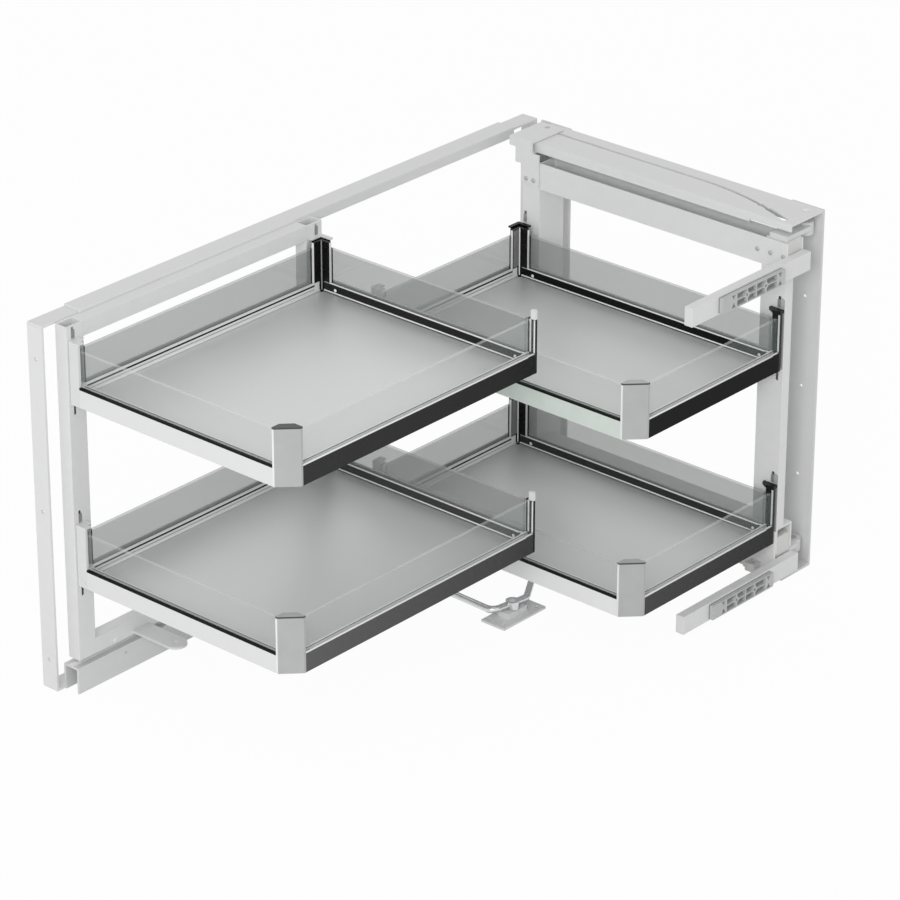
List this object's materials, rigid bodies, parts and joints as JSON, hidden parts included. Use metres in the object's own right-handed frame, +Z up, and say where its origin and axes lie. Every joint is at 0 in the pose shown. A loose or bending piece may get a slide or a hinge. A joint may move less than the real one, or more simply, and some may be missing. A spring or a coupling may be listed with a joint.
{
  "type": "blind corner pull out",
  "caption": "Blind corner pull out: swing-out front frame and sliding rear carriage with glass-sided trays, on a rear ring and a slotted side frame, with door arms and a floor lever",
  "frame": {"origin": "middle of the footprint, on the cabinet floor", "axes": "+X to the right along the rear ring, +Y to the back of the cabinet, +Z up"},
  "size_m": [0.864, 0.506, 0.4815],
  "materials": {
    "white_steel": "satin powder coat",
    "grey_steel": "satin powder coat",
    "bright_steel": "bright zinc",
    "nylon": "matte",
    "adapter_grey": "moulded",
    "tray_board": "grey laminate",
    "light_rail": "polished",
    "dark_rail": "black gloss",
    "satin_post": "satin",
    "black_post": "gloss",
    "clear_glass": "clear"
  },
  "bodies": {
    "cabinet_fixings": {"ring_uprights": "white_steel", "ring_cross_strips": "white_steel", "rear_top_rail": "white_steel", "rear_bottom_rail": "grey_steel", "side_cover": "white_steel", "side_uprights": "grey_steel", "side_base_plate": "grey_steel", "hinge_pins": "bright_steel", "floor_plate": "grey_steel", "pivot_block": "grey_steel"},
    "front_guide": {"guide_arms": "grey_steel", "guide_bushes": "nylon", "guide_shoes": "nylon"},
    "front_frame": {"swing_front_post": "white_steel", "swing_rear_post": "white_steel", "swing_top_beam": "white_steel", "swing_bottom_beam": "white_steel", "saddle_bracket": "white_steel", "lower_bracket": "white_steel", "stop_block": "nylon", "frame_screws": "bright_steel", "door_arms": "white_steel", "door_adapters": "adapter_grey", "front_upper_floor": "tray_board", "front_upper_light_rails": "light_rail", "front_upper_dark_rails": "dark_rail", "front_upper_front_post": "satin_post", "front_upper_corner_posts": "black_post", "front_upper_glass": "clear_glass", "front_lower_floor": "tray_board", "front_lower_light_rails": "light_rail", "front_lower_dark_rails": "dark_rail", "front_lower_front_post": "satin_post", "front_lower_corner_posts": "black_post", "front_lower_glass": "clear_glass", "front_tray_hooks": "bright_steel"},
    "rear_carriage": {"carriage_posts": "white_steel", "carriage_top_bar": "white_steel", "carriage_bottom_bar": "white_steel", "carriage_axles": "bright_steel", "carriage_tongue": "grey_steel", "rear_upper_floor": "tray_board", "rear_upper_light_rails": "light_rail", "rear_upper_dark_rails": "dark_rail", "rear_upper_front_post": "satin_post", "rear_upper_corner_posts": "black_post", "rear_upper_glass": "clear_glass", "rear_lower_floor": "tray_board", "rear_lower_light_rails": "light_rail", "rear_lower_dark_rails": "dark_rail", "rear_lower_front_post": "satin_post", "rear_lower_corner_posts": "black_post", "rear_lower_glass": "clear_glass", "rear_tray_hooks": "bright_steel"},
    "left_wheel": {"left_wheel": "nylon"},
    "right_wheel": {"right_wheel": "nylon"},
    "left_roller": {"left_roller": "nylon"},
    "right_roller": {"right_roller": "nylon"},
    "lever": {"lever_rod": "bright_steel"}
  },
  "joints": [
    {"name": "front_swing", "type": "hinge", "parent": "cabinet_fixings", "child": "front_guide", "pos_m": [0.402, -0.219, 0.24], "axis": [0, 0, 1], "range_deg": [0, 90]},
    {"name": "front_slide", "type": "slide", "parent": "front_guide", "child": "front_frame", "axis": [0, -1, 0], "range_m": [0, 0.348]},
    {"name": "rear_slide", "type": "slide", "parent": "cabinet_fixings", "child": "rear_carriage", "axis": [1, 0, 0], "range_m": [0, 0.3]},
    {"name": "lever_swing", "type": "hinge", "parent": "cabinet_fixings", "child": "lever", "pos_m": [0.0677, -0.0475, 0.0165], "axis": [0, 0, 1], "range_deg": [-40, 0]},
    {"name": "left_wheel_spin", "type": "hinge", "parent": "rear_carriage", "child": "left_wheel", "pos_m": [-0.357, 0.217, 0.0462], "axis": [0, 1, 0], "range_deg": [0, 2000]},
    {"name": "right_wheel_spin", "type": "hinge", "parent": "rear_carriage", "child": "right_wheel", "pos_m": [-0.048, 0.217, 0.0462], "axis": [0, 1, 0], "range_deg": [0, 2000]},
    {"name": "left_roller_spin", "type": "hinge", "parent": "rear_carriage", "child": "left_roller", "pos_m": [-0.357, 0.235, 0.4647], "axis": [0, 0, 1], "range_deg": [-2900, 0]},
    {"name": "right_roller_spin", "type": "hinge", "parent": "rear_carriage", "child": "right_roller", "pos_m": [-0.048, 0.235, 0.4647], "axis": [0, 0, 1], "range_deg": [-2900, 0]}
  ],
  "couplings": [
    {"joint": "front_slide", "follows": "front_swing", "m_per_rad": 0.2215},
    {"joint": "rear_slide", "follows": "front_swing", "m_per_rad": 0.1909},
    {"joint": "lever_swing", "follows": "front_swing", "ratio": -0.444},
    {"joint": "left_wheel_spin", "follows": "front_swing", "ratio": 21.94},
    {"joint": "right_wheel_spin", "follows": "front_swing", "ratio": 21.94},
    {"joint": "left_roller_spin", "follows": "front_swing", "ratio": -31.81},
    {"joint": "right_roller_spin", "follows": "front_swing", "ratio": -31.81}
  ]
}
